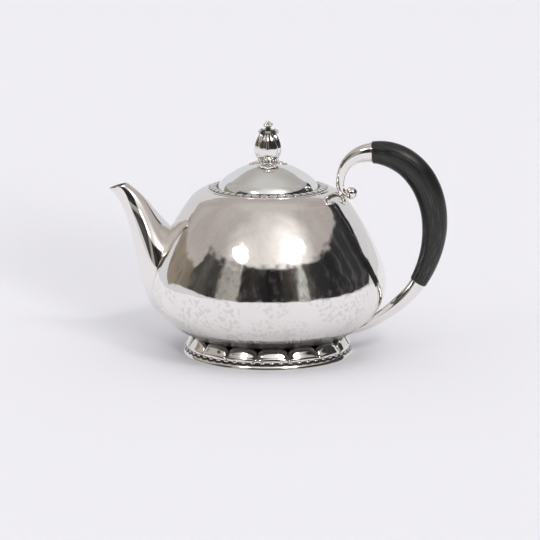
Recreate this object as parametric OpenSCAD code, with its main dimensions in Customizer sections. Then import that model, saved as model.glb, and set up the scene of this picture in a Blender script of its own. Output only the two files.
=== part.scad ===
// Raised silver teapot with a petalled foot, a conical spout, an ebony grip and a lift-off lid.
// Origin: centre of the foot, on the table. +Z up, the spout points to -X, the handle to +X.
// Planar outlines are [distance along X or radius, height]. All sizes in millimetres.

/* [Pot] */
// Largest radius of the belly
belly_r = 83.4; // [82:0.2:84.4]
// Height of the largest radius
belly_z = 50; // [48:0.5:52]
// Height of the ledge that the lid rests on
ledge_z = 116.4; // [115.8:0.1:117]
// Radius of the opening
opening_r = 37.6; // [36.8:0.1:38.2]
// Thickness of the raised silver
wall = 1; // [0.8:0.1:1.2]

/* [Foot] */
// Outer radius of the foot's rim
foot_r = 60.4; // [60:0.1:61]
// Number of petals in the collar
petals = 16; // [12:1:20]
// Number of beads in the foot's row
foot_beads = 56; // [48:1:58]
// Turn of the petal collar about the pot's axis
petal_turn = 3.7; // [0:0.1:11]

/* [Spout] */
// Width of the spout over its height in side view
spout_aspect = 0.88; // [0.85:0.01:0.9]
// Number of strainer holes in each outer row
strainer_ring = 12; // [8:1:14]

/* [Handle] */
// Side-to-side thickness of the grip over its thickness in side view
grip_aspect = 0.84; // [0.75:0.01:0.95]
// Radius of the ball that ends the upper arm
ball_r = 4.4; // [4.2:0.1:4.7]

/* [Lid] */
// Radius of the dome's foot
dome_r = 35.2; // [34.8:0.1:35.6]
// Height of the dome above the ledge
dome_h = 19.6; // [19:0.1:20.4]
// Number of lobes round the lid's border
lid_lobes = 42; // [36:1:43]

/* [Hidden] */
$fn = 72;
big = 200;

bottom_z = 10.6;          // flat underside of the pot
seat_r = 46;              // radius where the underside starts to rise
shoulder_r = 54.4;        // radius where the side turns into the shoulder
ledge_r = 43.8;           // outer radius of the lid's ledge
solder = 0.6;             // depth that a soldered piece sinks into the wall

silver = [0.80, 0.79, 0.77];
ebony = [0.13, 0.12, 0.12];

// ---------- curves ----------

// Point of the cubic Bezier curve with control points c
function bez(c, t) = pow(1 - t, 3) * c[0] + 3 * t * pow(1 - t, 2) * c[1]
                   + 3 * t * t * (1 - t) * c[2] + pow(t, 3) * c[3];
function bez_path(c, n) = [for (i = [0 : n]) bez(c, i / n)];
function unit(v) = v / norm(v);
function mix(a, b, t) = a + (b - a) * t;
function reversed(p) = [for (i = [len(p) - 1 : -1 : 0]) p[i]];
// Unit vector to the right of planar direction d, and of a planar path at its point i
function inward(d) = unit([d.y, -d.x]);
function side(p, i) = inward(p[min(i + 1, len(p) - 1)] - p[max(i - 1, 0)]);
function parallel_path(p, d) = [for (i = [0 : len(p) - 1]) p[i] + d * side(p, i)];
function arc(c, r, a0, a1, n) = [for (i = [0 : n]) c + r * [cos(mix(a0, a1, i / n)), sin(mix(a0, a1, i / n))]];

// ---------- pot outline ----------

low_curve = [[seat_r, bottom_z], [seat_r + 20, bottom_z + 6.4], [belly_r, belly_z - 19], [belly_r, belly_z]];
high_curve = [[belly_r, belly_z], [belly_r, belly_z + 16], [66, ledge_z - 19.4], [shoulder_r, ledge_z - 5.4]];
shoulder_curve = [high_curve[3], high_curve[3] + [-2.6, 2.6], [ledge_r + 4.4, ledge_z - 1.3], [ledge_r, ledge_z]];
pot_outline = concat(bez_path(low_curve, 12), [for (i = [1 : 14]) bez(high_curve, i / 14)],
                     [for (i = [1 : 6]) bez(shoulder_curve, i / 6)]);
pot_by_height = [for (p = pot_outline) [p.y, p.x]];
function pot_r(z) = lookup(z, pot_by_height);
// Point on the lower side of the pot, moved out of the surface by d
function under_pot(t, d) = let (p = bez(low_curve, t), q = bez(low_curve, t + 0.01))
    p + d * inward(q - p);

module pot_solid() {
    rotate_extrude() polygon(concat([[0, bottom_z]], pot_outline, [[0, ledge_z]]));
}

// ---------- shared shapes ----------

// Solid through a list of rings with equal point counts; closed joins the last ring to the first
module loft(rings, closed = false) {
    n = len(rings[0]);
    m = len(rings);
    function at(i, j) = (i % m) * n + (j % n);
    walls = [for (i = [0 : m - (closed ? 1 : 2)], j = [0 : n - 1])
             each [[at(i, j), at(i, j + 1), at(i + 1, j + 1)], [at(i, j), at(i + 1, j + 1), at(i + 1, j)]]];
    ends = closed ? [] : [[for (j = [n - 1 : -1 : 0]) j], [for (j = [0 : n - 1]) (m - 1) * n + j]];
    polyhedron([for (r = rings) each r], concat(walls, ends), convexity = 10);
}

// Oval tube along a path in the XZ plane; half is its half thickness in that plane at each point,
// first and last are the directions square to its two end faces
module sweep(path, half, aspect, first, last, sides = 20) {
    m = len(path) - 1;
    loft([for (i = [0 : m])
          let (n = i == 0 ? inward(first) : i == m ? inward(last) : side(path, i))
          [for (j = [0 : sides - 1]) let (a = -360 * j / sides, p = path[i] + n * half[i] * cos(a))
           [p.x, aspect * half[i] * sin(a), p.y]]]);
}

// Cylinder whose base is centred at a point of the XZ plane and which points along direction d there
module rod(at, d, r, length) {
    translate([at.x, 0, at.y]) rotate([0, atan2(d.x, d.y), 0]) cylinder(r = r, h = length);
}

module ring(count, radius, height, turn = 0) {
    for (i = [0 : count - 1]) rotate(360 * i / count + turn) translate([radius, 0, height]) children();
}

// ---------- pot ----------

strainer_at = [-belly_r + 2, 0, 60];
strainer_hole_r = 1.5;

module body_shell() {
    inner = reversed(parallel_path(pot_outline, -wall));
    color(silver) difference() {
        rotate_extrude() polygon(concat([[0, bottom_z]], pot_outline, [[ledge_r, ledge_z - wall]],
            [for (i = [1 : len(inner) - 1]) inner[i]], [[0, bottom_z + wall]]));
        for (row = [0 : 2], i = [0 : (row == 0 ? 0 : row * strainer_ring / 2 - 1)])
            translate(strainer_at) rotate([360 * i / max(1, row * strainer_ring / 2), 0, 0])
                translate([0, 0, 6 * row]) rotate([0, 90, 0])
                    cylinder(r = strainer_hole_r, h = 30, center = true);
    }
}

// Flat ring soldered into the shell's mouth, on which the lid rests
module neck_ring() {
    color(silver) translate([0, 0, ledge_z - wall]) difference() {
        cylinder(r = ledge_r, h = wall);
        translate([0, 0, -1]) cylinder(r = opening_r, h = wall + 2);
    }
}

wire_r = 0.9;
module rim_wire() {
    color(silver) difference() {
        rotate_extrude() translate([ledge_r - 1.1, ledge_z]) circle(wire_r);
        translate([0, 0, ledge_z - 10]) cylinder(r = big, h = 10);
    }
}

// ---------- spout ----------

spout_low = [[-112, 115.4], [-88.9, 98.4], [-97, 26.4], [-69, 24]];
spout_top = [[-98.6, 119.4], [-80.8, 106.2], [-82.8, 101.1], [-66, 86]];
spout_wall = 1.2;
// Point of the spout's skin: u runs from mouth to base, v round the section, inset goes into the metal
function spout_point(u, v, inset) =
    let (lo = bez(spout_low, u), hi = bez(spout_top, u), half = (hi - lo) / 2, h = norm(half),
         p = (hi + lo) / 2 + half * (h - inset) / h * cos(v))
    [p.x, (spout_aspect * h - inset) * sin(v), p.y];
function outside_pot(p) = norm([p.x, p.y]) - pot_r(p.z) + solder;
// Value of u where the skin's line at v has sunk into the pot's wall
function spout_end(v, inset, a = 0, b = 1, n = 18) = n == 0 ? a :
    let (m = (a + b) / 2) outside_pot(spout_point(m, v, inset)) > 0
        ? spout_end(v, inset, m, b, n - 1) : spout_end(v, inset, a, m, n - 1);

module spout() {
    steps = 16;
    sides = 40;
    angles = [for (j = [0 : sides - 1]) 360 * j / sides];
    outer_end = [for (v = angles) spout_end(v, 0)];
    inner_end = [for (v = angles) spout_end(v, spout_wall)];
    outer = [for (i = [0 : steps]) [for (j = [0 : sides - 1])
             spout_point(outer_end[j] * i / steps, angles[j], 0)]];
    inner = [for (i = [steps : -1 : 0]) [for (j = [0 : sides - 1])
             spout_point(inner_end[j] * i / steps, angles[j], spout_wall)]];
    color(silver) loft(concat(outer, inner), closed = true);
}

// ---------- foot ----------

rim_h = 4.8;              // height of the rounded rim
petal_z = 5.6;            // lower edge of the petals
notch_z = 9.4;            // top of the collar between two petals
crest_z = 13.6;           // top of the collar at the middle of a petal
foot_bead_r = 0.9;

module foot_ring() {
    rim = arc([foot_r - rim_h / 2, rim_h / 2], rim_h / 2, -80, 90, 8);
    outline = concat([[foot_r - rim_h / 2, 0]], rim,
        [[56, rim_h], [55.6, petal_z], [53.4, petal_z], [52.6, 7.8], [46, 9], [45, bottom_z],
         [41, bottom_z], [41.4, 9.4], [45, 7.9], [51.6, 6.6], [52.6, 4.2], [55.4, 3.4], [56.4, 2], [56.6, 0]]);
    color(silver) rotate_extrude() polygon(outline);
}

module foot_beads() {
    color(silver) difference() {
        ring(foot_beads, foot_r - 2.2, rim_h) sphere(foot_bead_r);
        cylinder(r = big, h = rim_h);
    }
}

// Section of the collar where the petal is full (f = 1) or at a notch (f = 0)
function petal_section(f) =
    let (top = mix(notch_z, crest_z, f), base = mix(56.3, 57.1, f), crest = mix(55.4, 55.8, f),
         front = [[base, rim_h], [base + 0.8 * f, mix(rim_h, top, 0.5)],
                  [base - 0.2, mix(rim_h, top, 0.86)], [crest, top]])
    concat([for (k = [0 : 5]) bez(front, k / 5)],
           [[crest - 0.9, top - 0.3], [53.4, petal_z], [55.6, petal_z], [56, rim_h]]);

module petal_collar() {
    steps = 8;
    color(silver) rotate(-petal_turn)
        loft([for (i = [0 : petals * steps - 1])
              let (a = -360 * i / (petals * steps), s = 2 * (i % steps) / steps - 1, f = pow(1 - s * s, 0.6))
              [for (p = petal_section(f)) [p.x * sin(a), p.x * cos(a), p.y]]], closed = true);
}

// ---------- handle ----------

grip_curve = [[72.7, 143.3], [108.8, 145.1], [131.7, 97], [105.5, 51.3]];
grip_start = unit(grip_curve[1] - grip_curve[0]);
grip_end = unit(grip_curve[3] - grip_curve[2]);
grip_length = 130;        // along its curve
top_half = 7.7;           // half thickness of the grip at the upper joint
foot_half = 6.1;          // and at the lower joint
grip_halves = [[0, top_half], [0.1, 8.8], [0.2, 9.45], [0.38, 9.85], [0.5, 9.7], [0.62, 9.2],
               [0.74, 8.6], [0.85, 7.6], [1, foot_half]];
upper_curve = [grip_curve[0], grip_curve[0] - 12 * grip_start, [50, 135.5], [50.6, 119]];
upper_halves = [[0, top_half - 0.8], [0.15, 6.4], [0.35, 5.3], [0.6, 4.1], [0.8, 3.4], [1, 2.9]];
root_curve = [upper_curve[3], [50.7, 116.5], [52.2, 114.4], [55.3, 113.6]];
ball_at = [58.4, 114.2];
tail_t = 0.4;             // where the lower arm meets the pot's low curve
arm_curve = [grip_curve[3], grip_curve[3] + 14 * grip_end, [82.5, 28], under_pot(tail_t, 2.6)];
arm_halves = [[0, foot_half - 0.5], [0.25, 5.2], [0.5, 4.8], [0.75, 4.2], [0.9, 3.7], [1, 3.2]];
tang_r = 2.9;
tang_length = 14;
pin_r = 0.8;
pin_back = 7;             // distance of a pin from its joint

function halves(table, n) = [for (i = [0 : n]) lookup(i / n, table)];

// Round peg from a joint into the grip
module tang(at, d) {
    rod(at - 2 * d, d, tang_r, tang_length + 2);
}

// Pin into the grip from the side that faces the pot, through the tang
module cross_pin(at, d, to_pot, half, r) {
    rod(at + pin_back * d + half * to_pot, -to_pot, r, half + tang_r + 1);
}

module upper_cross_pin(r, out) {
    half = lookup(pin_back / grip_length, grip_halves);
    cross_pin(grip_curve[0], grip_start, inward(grip_start), half + out, r);
}

module lower_cross_pin(r, out) {
    half = lookup(1 - pin_back / grip_length, grip_halves);
    cross_pin(grip_curve[3], -grip_end, inward(grip_end), half + out, r);
}

module upper_arm() {
    n = 14;
    root = 6;
    path = concat(bez_path(upper_curve, n), [for (i = [1 : root]) bez(root_curve, i / root)]);
    half = concat(halves(upper_halves, n), [for (i = [1 : root]) mix(2.9, 2.1, i / root)]);
    color(silver) difference() {
        union() {
            sweep(path, half, grip_aspect, -grip_start, root_curve[3] - root_curve[2]);
            tang(grip_curve[0], grip_start);
        }
        translate([ball_at.x, 0, ball_at.y]) sphere(ball_r);
        upper_cross_pin(pin_r, 2);
    }
}

module scroll_ball() {
    color(silver) translate([ball_at.x, 0, ball_at.y]) sphere(ball_r);
}

module lower_arm() {
    n = 14;
    tail = 6;
    path = concat(bez_path(arm_curve, n), [for (i = [1 : tail]) let (k = i / tail)
                  under_pot(mix(tail_t, 0.15, k), mix(2.6, 0.4, k))]);
    half = concat(halves(arm_halves, n), [for (i = [1 : tail]) mix(3.2, 1, i / tail)]);
    color(silver) difference() {
        union() {
            sweep(path, half, grip_aspect, grip_end, path[n + tail] - path[n + tail - 1]);
            tang(grip_curve[3], -grip_end);
        }
        lower_cross_pin(pin_r, 2);
    }
}

module grip() {
    n = 28;
    color(ebony) difference() {
        sweep(bez_path(grip_curve, n), halves(grip_halves, n), grip_aspect, grip_start, grip_end, 24);
        rod(grip_curve[0] - grip_start, grip_start, tang_r + 0.05, tang_length + 1.5);
        rod(grip_curve[3] + grip_end, -grip_end, tang_r + 0.05, tang_length + 1.5);
        upper_cross_pin(pin_r, 2);
        lower_cross_pin(pin_r, 2);
    }
}

module upper_pin() {
    color(silver) upper_cross_pin(pin_r - 0.02, 0);
}

module lower_pin() {
    color(silver) lower_cross_pin(pin_r - 0.02, 0);
}

// ---------- lid ----------

flange_r = 41.3;
flange_t = 1;
flange_top = ledge_z + flange_t;
crown_z = ledge_z + dome_h;
side_curve = [[dome_r, flange_top], [dome_r, flange_top + 3.4], [dome_r - 2, flange_top + 5.2],
              [dome_r - 4.2, flange_top + 6.9]];
crown_curve = [side_curve[3], [dome_r - 13.2, crown_z - 5], [12, crown_z + 0.2], [0, crown_z]];
dome_outline = concat(bez_path(side_curve, 6), [for (i = [1 : 12]) bez(crown_curve, i / 12)]);
stud_r = 1.5;

module dome_solid() {
    rotate_extrude() polygon(concat([[0, flange_top]], dome_outline));
}

module lid_dome() {
    inner = reversed([for (p = parallel_path(dome_outline, -wall)) [max(p.x, 0), p.y]]);
    color(silver) difference() {
        rotate_extrude() polygon(concat([[dome_r - wall, ledge_z], [flange_r, ledge_z], [flange_r, flange_top]],
            dome_outline, inner));
        cylinder(r = stud_r + 0.1, h = big);
        translate([0, 22, ledge_z]) cylinder(r = 1.2, h = 30);
    }
}

bezel_r = 37;
bezel_h = 6;
module lid_bezel() {
    color(silver) translate([0, 0, ledge_z - bezel_h]) difference() {
        cylinder(r = bezel_r, h = bezel_h);
        translate([0, 0, -1]) cylinder(r = bezel_r - 1, h = bezel_h + 2);
    }
}

// Low round lobes on the flange
module lid_border() {
    color(silver) difference() {
        ring(lid_lobes, 38.4, flange_top - 1.8) sphere(3.2);
        cylinder(r = big, h = flange_top);
    }
}

// ---------- finial ----------

disc_top = crown_z + 0.4;      // top of the calyx's disc
finial_z = crown_z + 2.6;      // underside of the bud
bud_curve = [[6.2, finial_z], [9.9, finial_z + 2], [10.3, finial_z + 9.4], [7, finial_z + 16]];
bud_top = finial_z + 17.4;
stamen_z = bud_top + 5;
washer_z = crown_z - wall - 1.3;

module leaf() {
    n = 10;
    edge = [for (i = [0 : n]) [mix(5, 13, i / n), 3.1 * pow(sin(180 * i / n), 0.8) + 0.2]];
    linear_extrude(1.2) polygon(concat(edge, [for (p = reversed(edge)) [p.x, -p.y]]));
}

module finial_calyx() {
    color(silver) difference() {
        union() {
            for (i = [0 : 5]) rotate(60 * i) translate([0, 0, crown_z - 0.1]) rotate([0, 8, 0]) leaf();
            translate([0, 0, crown_z - 3]) cylinder(r = 8.8, h = disc_top - crown_z + 3);
        }
        dome_solid();
        cylinder(r = stud_r + 0.1, h = big);
        translate([0, 0, disc_top]) cylinder(r = 8, h = 5);
    }
}

module finial_collar() {
    color(silver) difference() {
        union() {
            translate([0, 0, disc_top]) cylinder(r = 6, h = finial_z - disc_top);
            ring(12, 6.4, disc_top + 1.1) sphere(1.3);
        }
        translate([0, 0, disc_top - 2]) cylinder(r = 20, h = 2);
        translate([0, 0, finial_z]) cylinder(r = 20, h = 2);
        cylinder(r = stud_r + 0.1, h = big);
    }
}

// Bud of five petals: round at the base, lobed towards the top
module finial_bud() {
    levels = 12;
    sides = 40;
    function lobe(k, a) = 1 - 0.1 * k * (1 - abs(cos(2.5 * a)));
    body = [for (i = [0 : levels]) let (k = i / levels, p = bez(bud_curve, k))
            [for (j = [0 : sides - 1]) let (a = -360 * j / sides, r = p.x * lobe(k, a))
             [r * cos(a), r * sin(a), p.y]]];
    tip = [for (j = [0 : sides - 1]) let (a = -360 * j / sides) [4 * cos(a), 4 * sin(a), bud_top]];
    color(silver) difference() {
        loft(concat(body, [tip]));
        translate([0, 0, finial_z - 1]) cylinder(r = stud_r + 0.02, h = 10);
    }
}

// Outward curl that ends each petal
module finial_tips() {
    color(silver) for (i = [0 : 4]) rotate(72 * i) translate([5, 0, bud_top + 1.2]) rotate([90, 0, 0])
        rotate([0, 0, -80]) rotate_extrude(angle = 240) translate([1.4, 0]) circle(0.75);
}

module finial_stamen() {
    color(silver) union() {
        translate([0, 0, bud_top]) cylinder(r = 2.3, h = stamen_z - bud_top);
        ring(6, 2.3, stamen_z + 0.8) sphere(1.3);
        translate([0, 0, stamen_z + 2.4]) sphere(1.6);
    }
}

module finial_stud() {
    color(silver) translate([0, 0, washer_z - 4]) cylinder(r = stud_r, h = finial_z + 9 - (washer_z - 4));
}

module finial_washer() {
    color(silver) translate([0, 0, washer_z]) difference() {
        cylinder(r = 4.5, h = 1);
        translate([0, 0, -1]) cylinder(r = stud_r + 0.1, h = 3);
    }
}

module finial_nut() {
    color(silver) translate([0, 0, washer_z - 2.6]) difference() {
        cylinder(r = 3.2, h = 2.6, $fn = 6);
        translate([0, 0, -1]) cylinder(r = stud_r + 0.02, h = 5);
    }
}

body_shell();
neck_ring();
rim_wire();
spout();
foot_ring();
foot_beads();
petal_collar();
upper_arm();
scroll_ball();
lower_arm();
grip();
upper_pin();
lower_pin();
lid_dome();
lid_bezel();
lid_border();
finial_calyx();
finial_collar();
finial_bud();
finial_tips();
finial_stamen();
finial_stud();
finial_washer();
finial_nut();
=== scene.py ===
import math

import bmesh
import bpy
import numpy as np
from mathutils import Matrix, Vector, noise


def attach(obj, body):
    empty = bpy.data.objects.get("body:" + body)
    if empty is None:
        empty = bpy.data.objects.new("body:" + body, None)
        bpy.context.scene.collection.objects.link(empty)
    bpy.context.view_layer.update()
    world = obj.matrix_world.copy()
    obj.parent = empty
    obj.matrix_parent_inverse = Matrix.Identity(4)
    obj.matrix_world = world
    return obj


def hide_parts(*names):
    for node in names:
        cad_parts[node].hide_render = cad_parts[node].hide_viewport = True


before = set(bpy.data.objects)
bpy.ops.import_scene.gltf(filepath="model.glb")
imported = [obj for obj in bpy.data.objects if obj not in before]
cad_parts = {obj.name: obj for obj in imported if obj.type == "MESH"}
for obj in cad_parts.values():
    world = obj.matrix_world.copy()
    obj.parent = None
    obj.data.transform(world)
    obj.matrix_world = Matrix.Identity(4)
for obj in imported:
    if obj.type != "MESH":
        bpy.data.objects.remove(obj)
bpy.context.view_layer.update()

MM = 0.001
TAU = 2 * math.pi
POT = "pot"
LID = "lid"

# ---------------------------------------------------------------- sizes

# millimetres; most of them are the CAD source's
BELLY_R, BELLY_Z = 83.4, 50.0
BOTTOM_Z, LEDGE_Z, LEDGE_R = 10.6, 116.4, 43.8
WALL = 1.0
LOW = [(46, BOTTOM_Z), (66, 17), (BELLY_R, 31), (BELLY_R, BELLY_Z)]
HIGH = [(BELLY_R, BELLY_Z), (BELLY_R, 66), (66, 97), (54.4, 111)]
LIP_Z = LEDGE_Z + 0.9
SHOULDER = [HIGH[-1], (51.6, 113.8), (LEDGE_R + 4.2, LIP_Z - 1.2), (LEDGE_R, LIP_Z)]
FLANGE_R, FLANGE_TOP = 41.3, LEDGE_Z + 1
CROWN_Z = LEDGE_Z + 19.6
DOME_SIDE = [(35.5, FLANGE_TOP), (35, FLANGE_TOP + 1.6), (33.6, FLANGE_TOP + 4.8), (31, FLANGE_TOP + 6.9)]
DOME_CROWN = [DOME_SIDE[-1], (22, CROWN_Z - 5), (12, CROWN_Z + 0.2), (0, CROWN_Z)]
SPOUT_LOW = [(-112, 115.4), (-88.9, 98.4), (-97, 26.4), (-69, 24)]
SPOUT_TOP = [(-98.6, 119.4), (-80.8, 106.2), (-82.8, 101.1), (-66, 86)]
SPOUT_WALL, SPOUT_ASPECT = 1.2, 0.88
HOLE_R, HOLE_STEP, HOLES_Z = 1.5, 6, 60
GRIP = [(72.7, 143.3), (108.8, 145.1), (131.7, 97), (105.5, 51.3)]
# half widths of the grip and arms, each at a share of the length
GRIP_HALVES = [(0, 7.7), (0.1, 8.8), (0.2, 9.45), (0.38, 9.85), (0.5, 9.7), (0.62, 9.2), (0.74, 8.6),
               (0.85, 7.6), (1, 6.1)]
UPPER_HALVES = [(0, 6.9), (0.15, 6.4), (0.35, 5.3), (0.6, 4.1), (0.8, 3.4), (1, 2.9)]
ARM_HALVES = [(0, 5.6), (0.25, 5.2), (0.5, 4.8), (0.75, 4.2), (0.9, 3.7), (1, 3.2)]
ASPECT = 0.84
BALL_AT, BALL_R = (58.4, 114.2), 4.4
FOOT_R, RIM_H, PETAL_Z = 60.4, 4.8, 5.6
FLANGE_IN, ARCH_Z = 57.0, 2.6
PETALS, PETAL_TURN = 16, 3.7
NOTCH_Z, CREST_Z = 9.4, 13.6
PETAL_EDGE_R = 0.42
FOOT_BEADS, NECK_BEADS, LID_LOBES = 56, 18, 42
BORDER_IN, BORDER_WIDE = 35.6, 5.6
VENT_R, VENT_Y = 1.2, 22
BORE_R = 1.6
DISC_TOP, FINIAL_Z = CROWN_Z + 0.4, CROWN_Z + 2.6
BUD = [(6.2, FINIAL_Z), (9.2, FINIAL_Z + 2.4), (9.5, FINIAL_Z + 9), (5.2, FINIAL_Z + 15.6)]
BUD_TOP = FINIAL_Z + 17.4

# ---------------------------------------------------------------- curves


def bez(c, n, skip=0):
    """n + 1 points of a cubic Bezier curve, without its first skip points."""
    return bez_at(c, np.linspace(0, 1, n + 1)[skip:])


def bez_at(c, t):
    """Points of a cubic Bezier curve at the parameters t."""
    c = np.array(c, float)
    t = np.asarray(t, float)[..., None]
    return (1 - t) ** 3 * c[0] + 3 * t * (1 - t) ** 2 * c[1] + 3 * t * t * (1 - t) * c[2] + t ** 3 * c[3]


def arc(cx, cy, r, a0, a1, n):
    """n + 1 points of an arc between two angles in degrees."""
    a = np.radians(np.linspace(a0, a1, n + 1))
    return np.stack([cx + r * np.cos(a), cy + r * np.sin(a)], 1)


def even(path, step):
    """The same path with points about step apart."""
    path = np.array(path, float)
    d = np.r_[0, np.cumsum(np.linalg.norm(np.diff(path, axis=0), axis=1))]
    s = np.linspace(0, d[-1], max(2, int(round(d[-1] / step)) + 1))
    return np.stack([np.interp(s, d, path[:, i]) for i in range(path.shape[1])], 1)


def rights(path):
    """Unit vectors to the right of a planar path, at each of its points."""
    d = np.gradient(path, axis=0)
    d /= np.linalg.norm(d, axis=1)[:, None]
    return np.stack([d[:, 1], -d[:, 0]], 1)


def smooth(a, b, x):
    """Smooth step of x from 0 at a to 1 at b."""
    t = np.clip((x - a) / (b - a), 0, 1)
    return t * t * (3 - 2 * t)


pot_curve = np.vstack([bez(LOW, 200), bez(HIGH, 200, 1), bez(SHOULDER, 60, 1)])


def pot_r(z):
    """Radius of the pot's outside at a height."""
    return np.interp(z, pot_curve[:, 1], pot_curve[:, 0])


def under_pot(t, d):
    """Point on the pot's lower side, moved out of the surface by d."""
    p = bez_at(LOW, t)
    q = bez_at(LOW, t + 0.01)
    v = (q - p) / np.linalg.norm(q - p)
    return p + d * np.array([v[1], -v[0]])


# ---------------------------------------------------------------- meshes


def make(name, verts, faces, material, body, *nodes, weld=0.0):
    """A mesh piece from millimetre points, riding on a body and standing for CAD nodes."""
    mesh = bpy.data.meshes.new(name)
    mesh.from_pydata((np.asarray(verts, float) * MM).tolist(), [], [list(f) for f in faces])
    bm = bmesh.new()
    bm.from_mesh(mesh)
    if weld:
        bmesh.ops.remove_doubles(bm, verts=bm.verts, dist=weld * MM)
    bmesh.ops.recalc_face_normals(bm, faces=bm.faces)
    bm.to_mesh(mesh)
    bm.free()
    mesh.shade_smooth()
    obj = bpy.data.objects.new(name, mesh)
    bpy.context.scene.collection.objects.link(obj)
    obj.data.materials.append(material)
    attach(obj, body)
    if nodes:
        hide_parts(*nodes)
    return obj


def tarnish_and_shade(obj, values):
    """Stores how sunk or sheltered each point is, from 0 to 1: where the silver is tarnished and where shade
    is painted in.
    """
    attr = obj.data.attributes.new("hollow", "FLOAT", "POINT")
    attr.data.foreach_set("value", np.asarray(values).astype(np.float32))


def tarnish_and_shade_by(obj, depth):
    """The same from a function of the points in millimetres."""
    co = np.empty(len(obj.data.vertices) * 3, np.float32)
    obj.data.vertices.foreach_get("co", co)
    tarnish_and_shade(obj, np.clip(depth(co.reshape(-1, 3) / MM), 0, 1))


def strip(rows, cols, around=True, ends=False):
    """Quads between rows of points; around joins the last column to the first, ends the last row."""
    out = []
    for i in range(rows if ends else rows - 1):
        for j in range(cols if around else cols - 1):
            a, b = i * cols, ((i + 1) % rows) * cols
            k = (j + 1) % cols
            out.append((a + j, a + k, b + k, b + j))
    return out


def turned(outline, cols, relief=None):
    """Points of a solid of revolution; relief(r, z, angle) moves them out along the outline's normal."""
    outline = np.asarray(outline, float)
    a = np.arange(cols) * TAU / cols
    r, z = outline[:, 0][:, None], outline[:, 1][:, None]
    if relief is not None:
        n = rights(outline)
        h = relief(r, z, a[None, :])
        r, z = r + n[:, 0][:, None] * h, z + n[:, 1][:, None] * h
    else:
        r, z = np.broadcast_to(r, (len(outline), cols)), np.broadcast_to(z, (len(outline), cols))
    return np.stack([r * np.cos(a), r * np.sin(a), z], -1).reshape(-1, 3)


class Parts:
    """Several closed shapes gathered into one mesh."""

    def __init__(self):
        self.verts, self.faces = [], []

    def add(self, verts, faces):
        k = len(self.verts)
        self.verts.extend(np.asarray(verts, float).tolist())
        self.faces.extend([tuple(k + i for i in f) for f in faces])

    def bead(self, at, radius, rows, cols):
        """A round bead."""
        t = np.linspace(0, math.pi, rows + 1)[:, None]
        a = np.arange(cols) * TAU / cols
        p = np.stack([radius * np.sin(t) * np.cos(a), radius * np.sin(t) * np.sin(a),
                      radius * np.cos(t) * np.ones(cols)], -1)[1:-1].reshape(-1, 3)
        p = np.vstack([p, [[0, 0, radius], [0, 0, -radius]]])
        n = (rows - 1) * cols
        f = strip(rows - 1, cols)
        f += [(n, (j + 1) % cols, j) for j in range(cols)]
        f += [(n + 1, (rows - 2) * cols + j, (rows - 2) * cols + (j + 1) % cols) for j in range(cols)]
        self.add(p + np.asarray(at, float), f)

    def rod(self, first, last):
        """A closed rod between two rings of as many points."""
        n = len(first)
        self.add(np.vstack([first, last]), strip(2, n) + [tuple(reversed(range(n))), tuple(range(n, 2 * n))])

    def sheet(self, grid, thick):
        """A thin closed sheet on a grid of points, thickened inwards along its normals."""
        grid = np.asarray(grid, float)
        du = np.gradient(grid, axis=0)
        dv = np.gradient(grid, axis=1)
        n = np.cross(du, dv)
        n /= np.maximum(np.linalg.norm(n, axis=-1, keepdims=True), 1e-9)
        back = grid - n * thick
        rows, cols = grid.shape[:2]
        f = strip(rows, cols, around=False)
        m = rows * cols
        f += [tuple(m + i for i in reversed(q)) for q in strip(rows, cols, around=False)]
        edge = list(range(cols)) + [i * cols + cols - 1 for i in range(1, rows)]
        edge += [(rows - 1) * cols + j for j in range(cols - 2, -1, -1)]
        edge += [i * cols for i in range(rows - 2, 0, -1)]
        f += [(a, m + a, m + b, b) for a, b in zip(edge, edge[1:] + edge[:1])]
        self.add(np.vstack([grid.reshape(-1, 3), back.reshape(-1, 3)]), f)


def sweep(path, halves, aspect, first, last, cols):
    """Closed oval rod along a path in the XZ plane; first and last are its directions at the ends."""
    n = rights(path)
    for i, d in ((0, first), (-1, last)):
        d = np.array(d, float) / np.linalg.norm(d)
        n[i] = (d[1], -d[0])
    a = np.arange(cols) * TAU / cols
    x = path[:, 0][:, None] + n[:, 0][:, None] * halves[:, None] * np.cos(a)
    z = path[:, 1][:, None] + n[:, 1][:, None] * halves[:, None] * np.cos(a)
    y = aspect * halves[:, None] * np.sin(a)
    verts = np.stack([x, y, z], -1).reshape(-1, 3)
    rows = len(path)
    faces = strip(rows, cols)
    faces += [tuple(range(cols)), tuple((rows - 1) * cols + j for j in reversed(range(cols)))]
    return verts, faces


def rounded_start(path, halves, radius):
    """Rounds the edge at a sweep's start, by rows that step in over the first radius of its length."""
    a = np.radians([0, 22, 45, 67, 90])
    d = (path[0] - path[1]) / np.linalg.norm(path[0] - path[1])
    inner = path[0] - d * radius
    rows = np.array([inner + d * radius * math.cos(t) for t in a])
    keep = np.linalg.norm(path - path[0], axis=1) > radius
    h = halves[0] - radius * (1 - np.sin(a))
    return np.vstack([rows, path[keep]]), np.r_[h, halves[keep]]


def rounded_ends(path, halves, radius):
    """Rounds the edges at both ends of a sweep."""
    path, halves = rounded_start(path, halves, radius)
    path, halves = rounded_start(path[::-1], halves[::-1], radius)
    return path[::-1], halves[::-1]


def cut(obj, cutters):
    """Cuts closed shapes out of a piece."""
    mesh = bpy.data.meshes.new("cutter")
    mesh.from_pydata((np.array(cutters.verts) * MM).tolist(), [], cutters.faces)
    tool = bpy.data.objects.new("cutter", mesh)
    bpy.context.scene.collection.objects.link(tool)
    m = obj.modifiers.new("holes", "BOOLEAN")
    m.operation, m.solver, m.object = "DIFFERENCE", "EXACT", tool
    bpy.context.view_layer.update()
    done = bpy.data.meshes.new_from_object(obj.evaluated_get(bpy.context.evaluated_depsgraph_get()))
    obj.modifiers.clear()
    obj.data = done
    bpy.data.objects.remove(tool)


# ---------------------------------------------------------------- materials


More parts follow.
